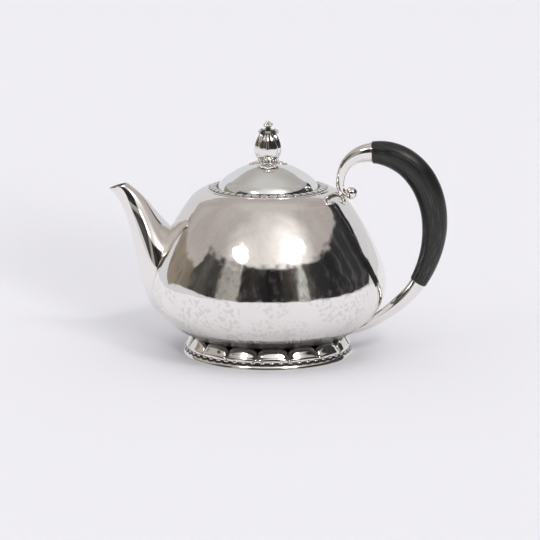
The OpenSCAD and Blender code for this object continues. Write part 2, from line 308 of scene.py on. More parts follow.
class Nodes:
    """Short hand for building a node tree."""

    def __init__(self, tree):
        self.tree = tree
        tree.nodes.clear()

    def add(self, kind, inputs=(), **settings):
        """Adds a node; inputs maps its sockets to values or to other nodes' outputs."""
        node = self.tree.nodes.new(kind)
        for key, value in settings.items():
            setattr(node, key, value)
        for key, value in dict(inputs).items():
            self.put(node.inputs[key], value)
        return node

    def put(self, socket, value):
        """Links or sets an input."""
        if isinstance(value, bpy.types.NodeSocket):
            self.tree.links.new(value, socket)
        else:
            socket.default_value = value

    def math(self, op, *values):
        """Result of a math node."""
        node = self.add("ShaderNodeMath", operation=op)
        for i, v in enumerate(values):
            self.put(node.inputs[i], v)
        return node.outputs[0]

    def step(self, value, a, b, lo=0.0, hi=1.0):
        """Smooth step of value from lo at a to hi at b."""
        node = self.add("ShaderNodeMapRange", {"Value": value, "From Min": a, "From Max": b, "To Min": lo,
                                               "To Max": hi}, interpolation_type="SMOOTHSTEP")
        return node.outputs["Result"]

    def mix(self, factor, a, b):
        """Colour between a at factor 0 and b at factor 1."""
        node = self.add("ShaderNodeMix", data_type="RGBA")
        self.put(node.inputs["Factor"], factor)
        self.put(node.inputs[6], a)
        self.put(node.inputs[7], b)
        return node.outputs[2]

    def noise(self, vector, scale, detail=2.0, rough=0.5, **more):
        """Value of a noise texture."""
        return self.add("ShaderNodeTexNoise", {"Vector": vector, "Scale": scale, "Detail": detail,
                                               "Roughness": rough}, **more).outputs["Fac"]


def shade(tint, r, g, b):
    """A tint darkened by a factor for each channel, as a colour with alpha."""
    return (tint[0] * r, tint[1] * g, tint[2] * b, 1)


def silver(name, hammer=0.0, marks=0.0, rough=0.07, tint=(0.9, 0.875, 0.85), dark=0.0):
    """Polished silver with hammered dishes, duller specks (marks), and darkening (dark) in its hollows that
    is partly tarnished metal and partly painted shade.
    """
    mat = bpy.data.materials.new(name)
    mat.use_nodes = True
    n = Nodes(mat.node_tree)
    at = n.add("ShaderNodeTexCoord").outputs["Object"]
    out = n.add("ShaderNodeOutputMaterial")
    shader = n.add("ShaderNodeBsdfPrincipled", {"Metallic": 1.0})
    n.put(out.inputs["Surface"], shader.outputs["BSDF"])
    cloud = n.noise(at, 38.0, 3.0)
    base = n.mix(n.step(cloud, 0.35, 0.7, 0.0, 0.5), (*tint, 1), shade(tint, 0.94, 0.935, 0.92))
    wear = n.noise(at, 900.0, 4.0, 0.65)
    r = n.step(wear, 0.3, 0.75, rough * 0.7, rough * 1.45)
    if marks:
        speck = n.step(n.noise(at, 330.0, 1.5, 0.5), 0.5, 0.58)
        patch = n.step(n.noise(at, 60.0, 2.0), 0.42, 0.53)
        low = n.step(n.add("ShaderNodeSeparateXYZ", {0: at}).outputs["Z"], 0.062, 0.046, 0.22, 1.0)
        spots = n.math("MULTIPLY", n.math("MULTIPLY", n.math("MULTIPLY", speck, patch), low), marks)
        base = n.mix(spots, base, shade(tint, 0.87, 0.86, 0.84))
        r = n.math("ADD", r, n.math("MULTIPLY", spots, 0.17))
    if dark:
        # the hollows' darkness, partly tarnished metal and partly painted shade, mixed into the colour
        hollow = n.add("ShaderNodeAttribute", attribute_name="hollow").outputs["Fac"]
        base = n.mix(n.math("MULTIPLY", hollow, dark), base, (0.05, 0.045, 0.04, 1))
        r = n.math("ADD", r, n.math("MULTIPLY", hollow, 0.25))
    n.put(shader.inputs["Base Color"], base)
    n.put(shader.inputs["Roughness"], r)
    scratches = n.noise(at, 1500.0, 2.0, 0.6)
    height = n.math("MULTIPLY", scratches, 0.0000012)
    waves = n.noise(at, 90.0, 1.0)
    height = n.math("ADD", height, n.math("MULTIPLY", waves, 0.00003))
    if hammer:
        bent = n.add("ShaderNodeVectorMath", operation="MULTIPLY_ADD")
        n.put(bent.inputs[0], n.add("ShaderNodeTexNoise", {"Vector": at, "Scale": 70.0}).outputs["Color"])
        n.put(bent.inputs[1], (0.003, 0.003, 0.003))
        n.put(bent.inputs[2], at)
        cell = n.add("ShaderNodeTexVoronoi", {"Vector": bent.outputs[0], "Scale": 160.0},
                     feature="F1").outputs["Distance"]
        dish = n.math("MULTIPLY", n.math("MULTIPLY", cell, cell), hammer)
        height = n.math("ADD", height, dish)
    bump = n.add("ShaderNodeBump", {"Height": height, "Strength": 1.0, "Distance": 1.0})
    n.put(shader.inputs["Normal"], bump.outputs["Normal"])
    return mat


def ebony():
    """Satin ebony: near-black wood with fine grey grain and open pores along the grip."""
    mat = bpy.data.materials.new("ebony_grain")
    mat.use_nodes = True
    n = Nodes(mat.node_tree)
    along = n.add("ShaderNodeAttribute", attribute_name="grain").outputs["Vector"]
    out = n.add("ShaderNodeOutputMaterial")
    shader = n.add("ShaderNodeBsdfPrincipled", {"IOR": 1.5, "Specular IOR Level": 0.5})
    n.put(out.inputs["Surface"], shader.outputs["BSDF"])

    def stretched(x, y, z):
        return n.add("ShaderNodeVectorMath", {0: along, 1: (x, y, z)}, operation="MULTIPLY").outputs[0]

    bands = n.noise(stretched(14, 240, 240), 1.0, 4.0, 0.6, normalize=True)
    fine = n.noise(stretched(40, 1400, 1400), 1.0, 3.0, 0.65)
    cloud = n.noise(stretched(22, 60, 60), 1.0, 2.0)
    colour = n.mix(n.step(bands, 0.42, 0.66), (0.006, 0.006, 0.0063, 1), (0.013, 0.0128, 0.0125, 1))
    # painted shade: the grain's pale streaks are dimmed over the grip's first 2 to 10 cm from its upper end,
    # so its top reads darker
    painted_top_shade = n.step(n.add("ShaderNodeSeparateXYZ", {0: along}).outputs["X"], 0.02, 0.1, 0.4, 0.9)
    colour = n.mix(n.math("MULTIPLY", n.step(fine, 0.54, 0.68), painted_top_shade), colour, (0.062, 0.06, 0.057, 1))
    colour = n.mix(n.step(cloud, 0.5, 0.75, 0.0, 0.4), colour, (0.018, 0.0175, 0.017, 1))
    n.put(shader.inputs["Base Color"], colour)
    uneven = n.math("ADD", n.math("MULTIPLY", fine, 0.6), n.math("MULTIPLY", cloud, 0.4))
    n.put(shader.inputs["Roughness"], n.step(uneven, 0.3, 0.7, 0.24, 0.36))
    pores = n.step(n.noise(stretched(70, 2200, 2200), 1.0, 2.0), 0.6, 0.7)
    height = n.math("SUBTRACT", n.math("MULTIPLY", fine, 0.00006), n.math("MULTIPLY", pores, 0.00005))
    bump = n.add("ShaderNodeBump", {"Height": height, "Strength": 0.8, "Distance": 1.0})
    n.put(shader.inputs["Normal"], bump.outputs["Normal"])
    return mat


hammered = silver("hammered_silver", hammer=0.000018, marks=1.0, rough=0.055, dark=0.95)
polished = silver("polished_silver", rough=0.055, dark=0.95)
lid_silver = silver("lid_silver", hammer=0.000004, rough=0.055, tint=(0.93, 0.955, 0.945))
chased = silver("chased_silver", rough=0.075, dark=0.95)
ebony_mat = ebony()

# ---------------------------------------------------------------- pot body

COLS = 480


def cells(points, size, seed):
    """Squared distance from each point to the nearest hammer blow, in units of size."""
    off = Vector((seed, 2.3 * seed, 5.1 * seed))
    out = np.empty(len(points))
    for i, p in enumerate(points):
        d, _ = noise.voronoi(Vector(p) / size + off)
        out[i] = min(d[0], 1.2) ** 2
    return out


flat_bottom = [(0.01, BOTTOM_Z), (30, BOTTOM_Z)]
outer = even(np.vstack([flat_bottom, bez(LOW, 120), bez(HIGH, 120, 1), bez(SHOULDER, 40, 1)]), 1.18)
normals = rights(outer)
inner = (outer - WALL * normals)[::-1][::6]
inner[0] = (LEDGE_R, LEDGE_Z - WALL)
verts = turned(outer, COLS)
dish = cells(verts, 7.0, 3.7) * 0.09 + cells(verts, 17.0, 1.3) * 0.1
side = smooth(46, 52, np.hypot(verts[:, 0], verts[:, 1])) * (1 - smooth(112, 115.5, verts[:, 2]))
out_dir = np.repeat(normals, COLS, axis=0)
a = np.tile(np.arange(COLS) * TAU / COLS, len(outer))
push = -dish * side
verts += np.stack([out_dir[:, 0] * np.cos(a), out_dir[:, 0] * np.sin(a), out_dir[:, 1]], 1) * push[:, None]
shell = np.vstack([verts, turned(inner, COLS)])
shell_faces = strip(len(outer) + len(inner), COLS, ends=True)
pot_body = make("pot_body", shell, shell_faces, hammered, POT, "body_shell", weld=0.02)

# strainer: one hole and two rings of holes round it
holes = Parts()
c = np.arange(20) * TAU / 20
for row in range(3):
    count = max(1, 6 * row)
    for i in range(count):
        t = TAU * i / count
        y = HOLE_STEP * row * math.sin(t) + HOLE_R * np.cos(c)
        z = HOLES_Z + HOLE_STEP * row * math.cos(t) + HOLE_R * np.sin(c)
        holes.rod(*(np.stack([np.full(len(c), x), y, z], 1) for x in (-95.0, -66.0)))
cut(pot_body, holes)
pot_body.data.shade_smooth()


def pot_depth(p):
    """Painted shade on the wall's inside and edge, and on the underside behind the foot."""
    r = np.hypot(p[:, 0], p[:, 1])
    wall = r < pot_r(np.maximum(p[:, 2], BOTTOM_Z + 0.01)) - 0.5
    under = (p[:, 2] < 28) * (1 - smooth(63.5, 71.5, r))
    return np.maximum(0.6 * wall, under)


# painted shade: the underside behind the foot and the wall's inside are darkened
tarnish_and_shade_by(pot_body, pot_depth)

wire = np.vstack([[(LEDGE_R - 2.0, LEDGE_Z - 0.2)], arc(LEDGE_R - 1.1, LIP_Z - 0.3, 0.9, 180, 40, 14),
                  [(LEDGE_R + 0.15, LIP_Z - 0.04), (LEDGE_R - 0.1, LEDGE_Z - 0.2)]])
make("mouth_wire", turned(wire, 360), strip(len(wire), 360, ends=True), polished, POT, "rim_wire")

# ---------------------------------------------------------------- spout


def spout_points(u, v, inset):
    """Points at share u along the spout and angle v round it, inset from its outside."""
    lo, hi = bez_at(SPOUT_LOW, u), bez_at(SPOUT_TOP, u)
    half = (hi - lo) / 2
    h = np.linalg.norm(half, axis=-1)
    mid = (hi + lo) / 2 + half * ((h - inset) / h * np.cos(v))[..., None]
    return np.stack([mid[..., 0], (SPOUT_ASPECT * h - inset) * np.sin(v), mid[..., 1]], -1)


def spout_end(v, inset, sink):
    """Where each line along the spout has sunk into the pot's wall."""
    lo, hi = np.zeros_like(v), np.ones_like(v)
    for _ in range(30):
        m = (lo + hi) / 2
        p = spout_points(m, v, inset)
        outside = np.hypot(p[:, 0], p[:, 1]) - pot_r(p[:, 2]) + sink > 0
        lo, hi = np.where(outside, m, lo), np.where(outside, hi, m)
    return lo


SPOUT_COLS, SPOUT_SINK = 128, 0.55
v = np.arange(SPOUT_COLS) * TAU / SPOUT_COLS
outward = np.linspace(0, 1, 91)
inward = outward[::-3]
end = spout_end(v, 0.0, SPOUT_SINK)
end_in = spout_end(v, SPOUT_WALL, SPOUT_SINK)
rows = [spout_points(end * k, v, 0.0) for k in outward]
rows += [spout_points(end_in * k, v, SPOUT_WALL) for k in inward]
lip_dir = (rows[0] - rows[1]) / np.linalg.norm(rows[0] - rows[1], axis=1)[:, None]
for t in (150, 120, 90, 60, 30):
    inset = SPOUT_WALL / 2 * (1 - math.cos(math.radians(t)))
    bulge = lip_dir * SPOUT_WALL / 2 * math.sin(math.radians(t))
    rows.append(spout_points(np.zeros_like(v), v, inset) + bulge)
spout = make("spout_tube", np.vstack(rows), strip(len(rows), SPOUT_COLS, ends=True), polished, POT, "spout")
# painted shade: dark all along the spout's inside, and a little on the lip next to it
row_painted_shade = np.r_[np.zeros(len(outward)), np.ones(len(inward)), 0.35, np.zeros(4)]
tarnish_and_shade(spout, np.repeat(row_painted_shade, SPOUT_COLS))

# ---------------------------------------------------------------- foot

flange_curve = [(FOOT_R - 0.03, 0.8), (FOOT_R - 0.2, 1.7), (FOOT_R - 0.8, 2.9), (FOOT_R - 2.9, RIM_H)]
foot_top = [(56, RIM_H), (55.6, PETAL_Z), (53.4, PETAL_Z), (52.6, 7.8), (46, 9), (45, BOTTOM_Z)]
foot_under = [(41, BOTTOM_Z), (41.4, 9.4), (45, 7.9), (51.6, 6.6), (52.6, 4.2), (55.4, 3.4), (56.4, 2),
              (56.6, 0)]
foot_line = np.vstack([[(FOOT_R - 2.4, 0)], arc(FOOT_R - 0.5, 0.55, 0.5, -85, 6, 5), bez(flange_curve, 40),
                       foot_top, foot_under])


def arches(a):
    """Radius of the row of arches chased round the flange, one for each bead."""
    t = a * FOOT_BEADS / TAU + 0.5
    s = 2 * (t - np.floor(t)) - 1
    return FOOT_R - 2.05 + np.sqrt(np.maximum(0, 1 - s * s))


def scallops(r, z, a):
    """Relief of the arches: the metal inside each is sunk a little."""
    line = arches(a)
    return -0.28 * (z > ARCH_Z) * (r > FLANGE_IN) * (1 - smooth(line - 0.12, line + 0.12, r))


FOOT_COLS = FOOT_BEADS * 18
foot_faces = strip(len(foot_line), FOOT_COLS, ends=True)
flange = make("foot_flange", turned(foot_line, FOOT_COLS, scallops), foot_faces, polished, POT, "foot_ring")


def flange_depth(p):
    """Painted shade in the sunk metal inside the arches, and on everything inside the row of beads."""
    r = np.hypot(p[:, 0], p[:, 1])
    line = arches(np.arctan2(p[:, 1], p[:, 0]))
    return np.maximum((1 - smooth(line - 0.1, line + 0.2, r)) * (p[:, 2] > ARCH_Z), r < FLANGE_IN)


tarnish_and_shade_by(flange, flange_depth)

# petal collar: one section for each step round the foot, rising from notch to crest over each petal
STEPS = 30
collar, sunk = [], []
for i in range(PETALS * STEPS):
    a = -TAU * i / (PETALS * STEPS) + math.radians(PETAL_TURN)
    s = 2 * (i % STEPS) / STEPS - 1
    f = max(0.0, 1 - abs(s) ** 2.3) ** 0.5
    top = NOTCH_Z + (CREST_Z - NOTCH_Z) * f
    tall = top - RIM_H
    crest_r = 53.5 + 0.2 * f
    knee = (57.2 + 0.7 * f, RIM_H + 0.3 * tall)
    foot_of = [(57.6 + 0.7 * f, RIM_H - 0.1), (57.7 + 0.7 * f, RIM_H + 0.1 * tall),
               (57.6 + 0.7 * f, RIM_H + 0.22 * tall), knee]
    face_of = [knee, (56.1 + 0.6 * f, RIM_H + 0.48 * tall), (crest_r + 2.0, top - 1.5),
               (crest_r + PETAL_EDGE_R, top)]
    lip = arc(crest_r, top, PETAL_EDGE_R, 25, 190, 7)
    back = np.stack([np.linspace(crest_r - 0.45, 53.2, 5), np.linspace(top - 0.9, PETAL_Z, 5)], 1)
    sec = np.vstack([bez(foot_of, 6), bez(face_of, 10, 1), lip, back])
    collar.append(np.stack([sec[:, 0] * math.sin(a), sec[:, 0] * math.cos(a), sec[:, 1]], 1))
    # painted shade: dark in the gaps between petals rising up their faces, under the crest's lip and over
    # the petals' backs
    gap = smooth(0.88, 1.0, abs(s))
    rising = gap * smooth(0.35, 0.95, np.linspace(0, 1, 17))
    rising[-2:] = np.maximum(rising[-2:], [0.0, 0.6])
    sunk.append(np.r_[rising, np.maximum(gap, [0.3, 0, 0, 0, 0.1, 0.3, 0.7, 0.9]), np.ones(5)])
collar_faces = strip(len(collar), len(collar[0]), ends=True)
petal_ring = make("petal_ring", np.vstack(collar), collar_faces, chased, POT, "petal_collar")
tarnish_and_shade(petal_ring, np.hstack(sunk))

# foot beads, drawn out along the ring and bent with it
lobe = Parts()
lobe.bead((0, 0, 0), 1.0, rows=10, cols=20)
p = np.array(lobe.verts) * (1.0, 2.0, 0.85)
x, y = FOOT_R - 2.0 + p[:, 0] - 0.03 * p[:, 1] ** 2, p[:, 1]
z = RIM_H - 0.15 + p[:, 2]
beads = Parts()
for i in range(FOOT_BEADS):
    a = TAU * i / FOOT_BEADS
    turned_xy = (x * math.cos(a) - y * math.sin(a), x * math.sin(a) + y * math.cos(a))
    beads.add(np.stack([*turned_xy, z], 1), lobe.faces)
make("bead_row", beads.verts, beads.faces, polished, POT, "foot_beads")

# ---------------------------------------------------------------- handle


def unit(v):
    """The same direction, one long."""
    return v / np.linalg.norm(v)


start = unit(np.array(GRIP[1], float) - GRIP[0])
stop = unit(np.array(GRIP[3], float) - GRIP[2])
UPPER = [GRIP[0], tuple(np.array(GRIP[0]) - 12 * start), (50, 135.5), (50.6, 119)]
ROOT = [UPPER[3], (50.7, 116.5), (52.2, 114.4), (55.3, 113.6)]
TAIL_T, TAIL_END_T = 0.4, 0.15
TAIL_OUT, TAIL_END_OUT = 2.6, 0.4
ARM = [GRIP[3], tuple(np.array(GRIP[3]) + 14 * stop), (82.5, 28), tuple(under_pot(TAIL_T, TAIL_OUT))]
ARM_STEPS, TAIL_STEPS, GRIP_STEPS = 90, 30, 160
TUBE_COLS = 64


def halves(table, n):
    """n + 1 half widths from a table, smoothed so that no corner shows."""
    table = np.array(table, float)
    h = np.interp(np.linspace(0, 1, n + 1), table[:, 0], table[:, 1])
    for _ in range(30):
        h[1:-1] = (h[:-2] + 2 * h[1:-1] + h[2:]) / 4
    return h


def closed_tube(name, path, half, first, last, material, node):
    verts, faces = sweep(path, half, ASPECT, first, last, TUBE_COLS)
    return make(name, verts, faces, material, POT, node)


# each arm narrows on from the last half width of its table to its thin end
path = np.vstack([bez(UPPER, ARM_STEPS), bez(ROOT, TAIL_STEPS, 1)])
tail_half = np.linspace(UPPER_HALVES[-1][1], 2.1, TAIL_STEPS + 1)[1:]
half = np.r_[halves(UPPER_HALVES, ARM_STEPS), tail_half]
path, half = rounded_start(path, half, 0.35)
closed_tube("upper_scroll", path, half, -start, np.array(ROOT[3]) - ROOT[2], polished, "upper_arm")

tail = np.array([under_pot(TAIL_T + (TAIL_END_T - TAIL_T) * k, TAIL_OUT + (TAIL_END_OUT - TAIL_OUT) * k)
                 for k in np.linspace(0, 1, TAIL_STEPS + 1)[1:]])
path = np.vstack([bez(ARM, ARM_STEPS), tail])
half = np.r_[halves(ARM_HALVES, ARM_STEPS), np.linspace(ARM_HALVES[-1][1], 1, TAIL_STEPS + 1)[1:]]
path, half = rounded_start(path, half, 0.35)
closed_tube("lower_scroll", path, half, stop, tail[-1] - tail[-2], polished, "lower_arm")

path, half = rounded_ends(bez(GRIP, GRIP_STEPS), halves(GRIP_HALVES, GRIP_STEPS), 0.6)
grip = closed_tube("ebony_grip", path, half, start, stop, ebony_mat, "grip")

# the wood's grain runs along the grip: each point's place along it and across it, in metres
along = np.r_[0, np.cumsum(np.linalg.norm(np.diff(path, axis=0), axis=1))] * MM
c = np.arange(TUBE_COLS) * TAU / TUBE_COLS
grain = np.stack([np.repeat(along, TUBE_COLS), (half[:, None] * np.cos(c)).ravel() * MM,
                  (half[:, None] * np.sin(c)).ravel() * MM], 1)
attr = grip.data.attributes.new("grain", "FLOAT_VECTOR", "POINT")
attr.data.foreach_set("vector", grain.astype(np.float32).ravel())

ball = Parts()
ball.bead((BALL_AT[0], 0, BALL_AT[1]), BALL_R, rows=40, cols=64)
make("scroll_end", ball.verts, ball.faces, polished, POT, "scroll_ball")

# ---------------------------------------------------------------- lid

skin = np.vstack([even(bez(DOME_SIDE, 60), 0.6), even(bez(DOME_CROWN, 90), 1.0)[1:]])
skin[-1, 0] = BORE_R
inside = (skin - WALL * rights(skin))[::-1][::3]
inside[0, 0] = BORE_R
edge = np.vstack([[(34.2, LEDGE_Z), (FLANGE_R - 0.4, LEDGE_Z)],
                  arc(FLANGE_R - 0.4, LEDGE_Z + 0.4, 0.4, -90, 0, 4)[1:],
                  arc(FLANGE_R - 0.4, FLANGE_TOP - 0.4, 0.4, 0, 90, 4), [(35.9, FLANGE_TOP)]])
lid_line = np.vstack([edge, skin, inside])
lid_verts = turned(lid_line, 360)
lid_verts[:, 2] -= np.where(lid_verts[:, 2] > FLANGE_TOP + 1.5, cells(lid_verts, 6.5, 8.1) * 0.02, 0)
lid_body = make("lid_shell", lid_verts, strip(len(lid_line), 360, ends=True), lid_silver, LID, "lid_dome")
vent = Parts()
c = np.arange(24) * TAU / 24
x, y = VENT_R * np.cos(c), VENT_Y + VENT_R * np.sin(c)
vent.rod(*(np.stack([x, y, np.full(len(c), z)], 1) for z in (120.0, 145.0)))
cut(lid_body, vent)
lid_body.data.shade_smooth()


# gadrooned border: each row across its band carries the lobes' swell
LOBE_COLS = 22
BORDER_COLS = LID_LOBES * LOBE_COLS
rows = []
a = np.arange(BORDER_COLS) * TAU / BORDER_COLS
s = 2 * ((np.arange(BORDER_COLS) % LOBE_COLS) / LOBE_COLS) - 1
lobe = np.sqrt(np.maximum(0, 1 - np.abs(s) ** 2.4))
for t in np.linspace(0, 1, 15):
    full = math.sin(math.pi * min(1.0, t * 0.97 + 0.03)) ** 0.55
    r = BORDER_IN + BORDER_WIDE * t - 0.55 * (1 - lobe) * t
    z = FLANGE_TOP + 0.05 + 1.45 * full * lobe
    rows.append(np.stack([r * np.cos(a), r * np.sin(a), z], 1))
for r in (41.0, BORDER_IN):
    rows.append(np.stack([r * np.cos(a), r * np.sin(a), np.full_like(a, FLANGE_TOP - 0.15)], 1))
border_faces = strip(len(rows), BORDER_COLS, ends=True)
border = make("lid_gadroons", np.vstack(rows), border_faces, chased, LID, "lid_border")


def border_depth(p):
    """Painted shade in the grooves between the lobes, in the corner where they meet the dome's wall, and
    along their outer edge.
    """
    r = np.hypot(p[:, 0], p[:, 1])
    t = np.arctan2(p[:, 1], p[:, 0]) * LID_LOBES / TAU
    groove = smooth(0.62, 0.92, np.abs(2 * (t - np.floor(t)) - 1))
    return np.maximum(groove, np.maximum(1 - smooth(35.9, 37.0, r), smooth(40.6, 41.1, r)))


tarnish_and_shade_by(border, border_depth)

# ---------------------------------------------------------------- finial

crown = bez(DOME_CROWN, 60)[::-1]


def crown_z(r):
    """Height of the dome's top at a radius."""
    return np.interp(r, crown[:, 0], crown[:, 1])


# six leaves lying on the dome, each with three small beads along its middle
calyx = Parts()
u = np.linspace(0, 1, 15)[:, None]
w = np.linspace(-1, 1, 11)[None, :]
r = 5 + 8 * u + 0 * w
y = 2.9 * np.sin(math.pi * np.clip(0.08 + 0.9 * u, 0, 1)) ** 0.75 * w
z = crown_z(np.hypot(r, y)) + 0.5 + 0.2 * np.abs(w) ** 3
z = z + 0.12 * smooth(0.8, 1.0, u) - 0.2 * np.exp(-(w / 0.18) ** 2)
for i in range(6):
    phi = math.radians(60 * i + 4)
    x2 = r * math.cos(phi) - y * math.sin(phi)
    y2 = r * math.sin(phi) + y * math.cos(phi)
    calyx.sheet(np.stack([x2, y2, z], -1), 0.8)
    for out, size in ((8.9, 0.55), (10.3, 0.5), (11.5, 0.42)):
        calyx.bead((out * math.cos(phi), out * math.sin(phi), crown_z(out) + 0.6), size, rows=8, cols=12)
disc = [(BORE_R, CROWN_Z - 0.4), (8.3, CROWN_Z - 0.6), (8.6, CROWN_Z - 0.1), (8.3, DISC_TOP),
        (BORE_R, DISC_TOP)]
calyx.add(turned(disc, 72), strip(5, 72, ends=True))
make("calyx_leaves", calyx.verts, calyx.faces, chased, LID, "finial_calyx")

ring = Parts()
core = [(BORE_R, DISC_TOP), (5.6, DISC_TOP), (5.5, FINIAL_Z - 1), (5.7, FINIAL_Z), (BORE_R, FINIAL_Z)]
ring.add(turned(core, 72), strip(5, 72, ends=True))
for i in range(NECK_BEADS):
    a = TAU * (i + 0.3) / NECK_BEADS
    ring.bead((6.4 * math.cos(a), 6.4 * math.sin(a), DISC_TOP + 1.0), 1.0, rows=12, cols=18)
neck = make("neck_beads", ring.verts, ring.faces, polished, LID, "finial_collar")
# painted shade: the core and the beads' inner sides are darkened
tarnish_and_shade_by(neck, lambda p: 1 - smooth(5.7, 6.5, np.hypot(p[:, 0], p[:, 1])))

# core behind the petals, darkened all over as painted shade
CORE = [(5.6, FINIAL_Z), (8.0, FINIAL_Z + 2.2), (8.2, FINIAL_Z + 8.6), (3.2, FINIAL_Z + 14.5)]
CORE_COLS = 96
core = np.vstack([[(BORE_R, FINIAL_Z)], bez(CORE, 24), [(2.2, BUD_TOP - 2.2), (BORE_R, BUD_TOP - 4)]])
bud = Parts()
bud.add(turned(core, CORE_COLS), strip(len(core), CORE_COLS, ends=True))
core_points = len(bud.verts)

# the middle line of a petal: up the bud, in at its throat, then out into a curl that winds up
throat = [BUD[3], (4.5, FINIAL_Z + 16.8), (3.65, FINIAL_Z + 17.2), (3.65, FINIAL_Z + 18.5)]
CURL_AT = (5.6, FINIAL_Z + 18.5)
turns = np.linspace(0, 1, 30)
curl_r, curl_a = 1.95 - 0.75 * turns, np.radians(180 - 350 * turns)
curl = np.stack([CURL_AT[0] + curl_r * np.cos(curl_a), CURL_AT[1] + curl_r * np.sin(curl_a)], 1)
petal_path = np.vstack([even(bez(BUD, 60), 0.5), even(bez(throat, 20), 0.4)[1:], curl[1:]])
length = np.r_[0, np.cumsum(np.linalg.norm(np.diff(petal_path, axis=0), axis=1))]
length /= length[-1]
bud_share = length[len(petal_path) - len(curl)]
petal_n = rights(petal_path)
PETAL_AT = (-88, -16, 56, 128, 200)
PETAL_LIFT = (0.7, 0.2, 0.45, 0.2, 0.45)
PETAL_COLS = 25
tips = Parts()


def petal(turn, lift, j0, j1, into):
    """One petal of the bud between rows j0 and j1 of its path."""
    w = np.linspace(-1, 1, PETAL_COLS)[None, :]
    t = length[j0:j1][:, None]
    r = petal_path[j0:j1, 0][:, None]
    width = 7.2 * (1 - 0.74 * smooth(bud_share * 0.4, bud_share * 0.95, t))
    angle = np.radians(turn) + width / np.maximum(r, 4.0) * w
    shape = smooth(0.0, 0.3 * bud_share, t) * (1 - smooth(bud_share * 0.9, bud_share * 1.05, t))
    keel = 0.9 * np.exp(-np.abs(w / 0.22) ** 1.4) - 0.25 * np.exp(-((np.abs(w) - 0.5) / 0.25) ** 2)
    out = lift + shape * keel - 0.3 * np.abs(w) ** 3
    rr = r + petal_n[j0:j1, 0][:, None] * out
    zz = petal_path[j0:j1, 1][:, None] + petal_n[j0:j1, 1][:, None] * out
    into.sheet(np.stack([rr * np.cos(angle), rr * np.sin(angle), zz], -1), 0.45)


split = len(petal_path) - len(curl) - 1
for turn, lift in zip(PETAL_AT, PETAL_LIFT):
    petal(turn, lift, 0, split + 1, bud)
    petal(turn, lift, split, len(petal_path), tips)
bud_piece = make("bud_petals", bud.verts, bud.faces, chased, LID, "finial_bud")
# painted shade: every point of the core is darkened
tarnish_and_shade(bud_piece, np.arange(len(bud.verts)) < core_points)

# the curls are darkened with painted shade inside their roll, along their edges and on their backs
curls = make("petal_curls", tips.verts, tips.faces, polished, LID, "finial_tips")
rolled = (length[split:] - length[split]) / (1 - length[split])
roll = np.repeat(smooth(0.45, 0.75, rolled), PETAL_COLS)
edges = np.tile(0.5 * smooth(0.75, 1.0, np.abs(np.linspace(-1, 1, PETAL_COLS))), len(rolled))
tarnish_and_shade(curls, np.tile(np.r_[np.maximum(roll, edges), np.maximum(roll, 0.6)], len(PETAL_AT)))

flower = Parts()
stem = even([(0.01, BUD_TOP - 1), (2.5, BUD_TOP - 1), (2.0, BUD_TOP + 2), (1.7, BUD_TOP + 4),
             (2.3, BUD_TOP + 5.4), (0.01, BUD_TOP + 6.2)], 0.4)
flower.add(turned(stem, 48), strip(len(stem), 48, ends=True))
for i in range(6):
    a = TAU * (i + 0.25) / 6
    flower.bead((2.25 * math.cos(a), 2.25 * math.sin(a), BUD_TOP + 5.9), 1.25, rows=12, cols=18)
for i in range(3):
    a = TAU * (i + 0.6) / 3
    flower.bead((1.05 * math.cos(a), 1.05 * math.sin(a), BUD_TOP + 7.5), 1.1, rows=12, cols=18)
stamen = make("stamen_beads", flower.verts, flower.faces, polished, LID, "finial_stamen")
# painted shade: the stem under the beads is darkened
tarnish_and_shade_by(stamen, lambda p: 1 - smooth(BUD_TOP + 4.0, BUD_TOP + 4.8, p[:, 2]))

# ---------------------------------------------------------------- carried-over nodes


KEPT = ("neck_ring", "lid_bezel", "upper_pin", "lower_pin", "finial_stud", "finial_washer", "finial_nut")
for name in KEPT:
    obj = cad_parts[name]
    obj.data.materials.clear()
    obj.data.materials.append(polished)

# ---------------------------------------------------------------- floor, light, camera

CAM_TURN = math.radians(4)
PALE = (0.855, 0.847, 0.887)

floor_mesh = bpy.data.meshes.new("floor")
c = np.arange(96) * TAU / 96
floor_mesh.from_pydata([(9 * math.cos(t), 9 * math.sin(t), 0) for t in c], [], [tuple(range(96))])
floor = bpy.data.objects.new("floor", floor_mesh)
bpy.context.scene.collection.objects.link(floor)
paper = bpy.data.materials.new("pale_paper")
paper.use_nodes = True
n = Nodes(paper.node_tree)
out = n.add("ShaderNodeOutputMaterial")
shader = n.add("ShaderNodeBsdfPrincipled", {"Base Color": (0.9, 0.895, 0.925, 1), "Roughness": 0.9,
                                            "Specular IOR Level": 0.1})
n.put(out.inputs["Surface"], shader.outputs["BSDF"])
floor_mesh.materials.append(paper)

world = bpy.data.worlds.new("studio")
bpy.context.scene.world = world
world.use_nodes = True
n = Nodes(world.node_tree)
direction = n.add("ShaderNodeTexCoord").outputs["Generated"]


def dot(v):
    """Share of the looked-at direction along v."""
    return n.add("ShaderNodeVectorMath", {0: direction, 1: v}, operation="DOT_PRODUCT").outputs["Value"]


# azimuth, from the camera's side towards its right, and elevation, both in degrees
front = dot((math.sin(CAM_TURN), -math.cos(CAM_TURN), 0))
right = dot((math.cos(CAM_TURN), math.sin(CAM_TURN), 0))
DEG = 180 / math.pi
az = n.math("MULTIPLY", n.math("ARCTAN2", right, front), DEG)
el = n.math("MULTIPLY", n.math("ARCSINE", dot((0, 0, 1))), DEG)
wide = n.math("ABSOLUTE", az)
wobble = n.math("MULTIPLY", n.math("SUBTRACT", n.noise(direction, 6.0, 3.0), 0.5), 4.0)

